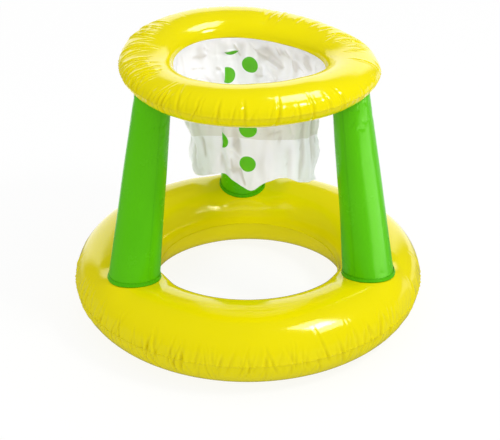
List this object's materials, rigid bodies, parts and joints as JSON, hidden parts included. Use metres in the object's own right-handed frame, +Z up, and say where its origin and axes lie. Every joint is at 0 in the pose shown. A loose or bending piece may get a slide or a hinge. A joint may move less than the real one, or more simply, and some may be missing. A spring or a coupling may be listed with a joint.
{
  "type": "floating basketball hoop",
  "caption": "Inflatable pool basketball hoop: floating base ring, tapered posts, inflated rim and hanging film net with an open way through for the ball.",
  "frame": {"origin": "centre of the base ring, on the surface it stands on", "axes": "+Z up through the rim, -Y towards the open side between the two front posts, +X to the right seen from the front"},
  "size_m": [0.676, 0.676, 0.5335],
  "materials": {
    "yellow_film": "glossy soft vinyl film, slightly see-through",
    "green_film": "glossy soft vinyl film",
    "net_film": "thin milky film with printed green dots",
    "valve_vinyl": "clear moulded vinyl"
  },
  "bodies": {
    "hoop": {"base_upper_sheet": "yellow_film", "base_lower_sheet": "yellow_film", "rim_upper_sheet": "yellow_film", "rim_lower_sheet": "yellow_film", "net": "net_film", "post_rear_tube": "green_film", "post_rear_foot_disc": "green_film", "post_rear_head_disc": "green_film", "post_left_tube": "green_film", "post_left_foot_disc": "green_film", "post_left_head_disc": "green_film", "post_right_tube": "green_film", "post_right_foot_disc": "green_film", "post_right_head_disc": "green_film", "base_valve_flange": "yellow_film", "rim_valve_flange": "yellow_film", "post_rear_valve_flange": "green_film", "post_left_valve_flange": "green_film", "post_right_valve_flange": "green_film"},
    "base_stem": {"base_valve_stem": "valve_vinyl"},
    "base_cap": {"base_valve_cap": "valve_vinyl"},
    "base_flap": {"base_valve_flap": "valve_vinyl"},
    "rim_stem": {"rim_valve_stem": "valve_vinyl"},
    "rim_cap": {"rim_valve_cap": "valve_vinyl"},
    "rim_flap": {"rim_valve_flap": "valve_vinyl"},
    "post_rear_stem": {"post_rear_valve_stem": "valve_vinyl"},
    "post_rear_cap": {"post_rear_valve_cap": "valve_vinyl"},
    "post_rear_flap": {"post_rear_valve_flap": "valve_vinyl"},
    "post_left_stem": {"post_left_valve_stem": "valve_vinyl"},
    "post_left_cap": {"post_left_valve_cap": "valve_vinyl"},
    "post_left_flap": {"post_left_valve_flap": "valve_vinyl"},
    "post_right_stem": {"post_right_valve_stem": "valve_vinyl"},
    "post_right_cap": {"post_right_valve_cap": "valve_vinyl"},
    "post_right_flap": {"post_right_valve_flap": "valve_vinyl"}
  },
  "joints": [
    {"name": "base_stem_push", "type": "slide", "parent": "hoop", "child": "base_stem", "axis": [-0.2683, -0.7905, -0.5506], "range_m": [0, 0.007]},
    {"name": "base_cap_hinge", "type": "hinge", "parent": "base_stem", "child": "base_cap", "pos_m": [0.10514, 0.30974, 0.11459], "axis": [0.9469, -0.3214, 0], "range_deg": [0, 165]},
    {"name": "base_flap_hinge", "type": "hinge", "parent": "base_stem", "child": "base_flap", "pos_m": [0.10245, 0.30181, 0.10404], "axis": [-0.9469, 0.3214, 0], "range_deg": [0, 40]},
    {"name": "rim_stem_push", "type": "slide", "parent": "hoop", "child": "rim_stem", "axis": [0.385, -0.6183, 0.6852], "range_m": [0, 0.007]},
    {"name": "rim_cap_hinge", "type": "hinge", "parent": "rim_stem", "child": "rim_cap", "pos_m": [-0.1305, 0.21482, 0.48313], "axis": [0.8489, 0.5286, 0], "range_deg": [0, 165]},
    {"name": "rim_flap_hinge", "type": "hinge", "parent": "rim_stem", "child": "rim_flap", "pos_m": [-0.12405, 0.20446, 0.48884], "axis": [-0.8489, -0.5286, 0], "range_deg": [0, 40]},
    {"name": "post_rear_stem_push", "type": "slide", "parent": "hoop", "child": "post_rear_stem", "axis": [-0.0123, -0.9761, -0.2169], "range_m": [0, 0.007]},
    {"name": "post_rear_cap_hinge", "type": "hinge", "parent": "post_rear_stem", "child": "post_rear_cap", "pos_m": [-0.00818, 0.26837, 0.30872], "axis": [0.9999, -0.0126, 0], "range_deg": [0, 165]},
    {"name": "post_rear_flap_hinge", "type": "hinge", "parent": "post_rear_stem", "child": "post_rear_flap", "pos_m": [-0.00832, 0.25678, 0.30184], "axis": [-0.9999, 0.0126, 0], "range_deg": [0, 40]},
    {"name": "post_left_stem_push", "type": "slide", "parent": "hoop", "child": "post_left_stem", "axis": [-0.1015, -0.9887, 0.1101], "range_m": [0, 0.007]},
    {"name": "post_left_cap_hinge", "type": "hinge", "parent": "post_left_stem", "child": "post_left_cap", "pos_m": [-0.1811, -0.0655, 0.30348], "axis": [0.9948, -0.1021, 0], "range_deg": [0, 165]},
    {"name": "post_left_flap_hinge", "type": "hinge", "parent": "post_left_stem", "child": "post_left_flap", "pos_m": [-0.18245, -0.07862, 0.30072], "axis": [-0.9948, 0.1021, 0], "range_deg": [0, 40]},
    {"name": "post_right_stem_push", "type": "slide", "parent": "hoop", "child": "post_right_stem", "axis": [0.0691, -0.9919, 0.1069], "range_m": [0, 0.007]},
    {"name": "post_right_cap_hinge", "type": "hinge", "parent": "post_right_stem", "child": "post_right_cap", "pos_m": [0.19747, -0.05087, 0.30242], "axis": [0.9976, 0.0695, 0], "range_deg": [0, 165]},
    {"name": "post_right_flap_hinge", "type": "hinge", "parent": "post_right_stem", "child": "post_right_flap", "pos_m": [0.19838, -0.06401, 0.29962], "axis": [-0.9976, -0.0695, 0], "range_deg": [0, 40]}
  ]
}
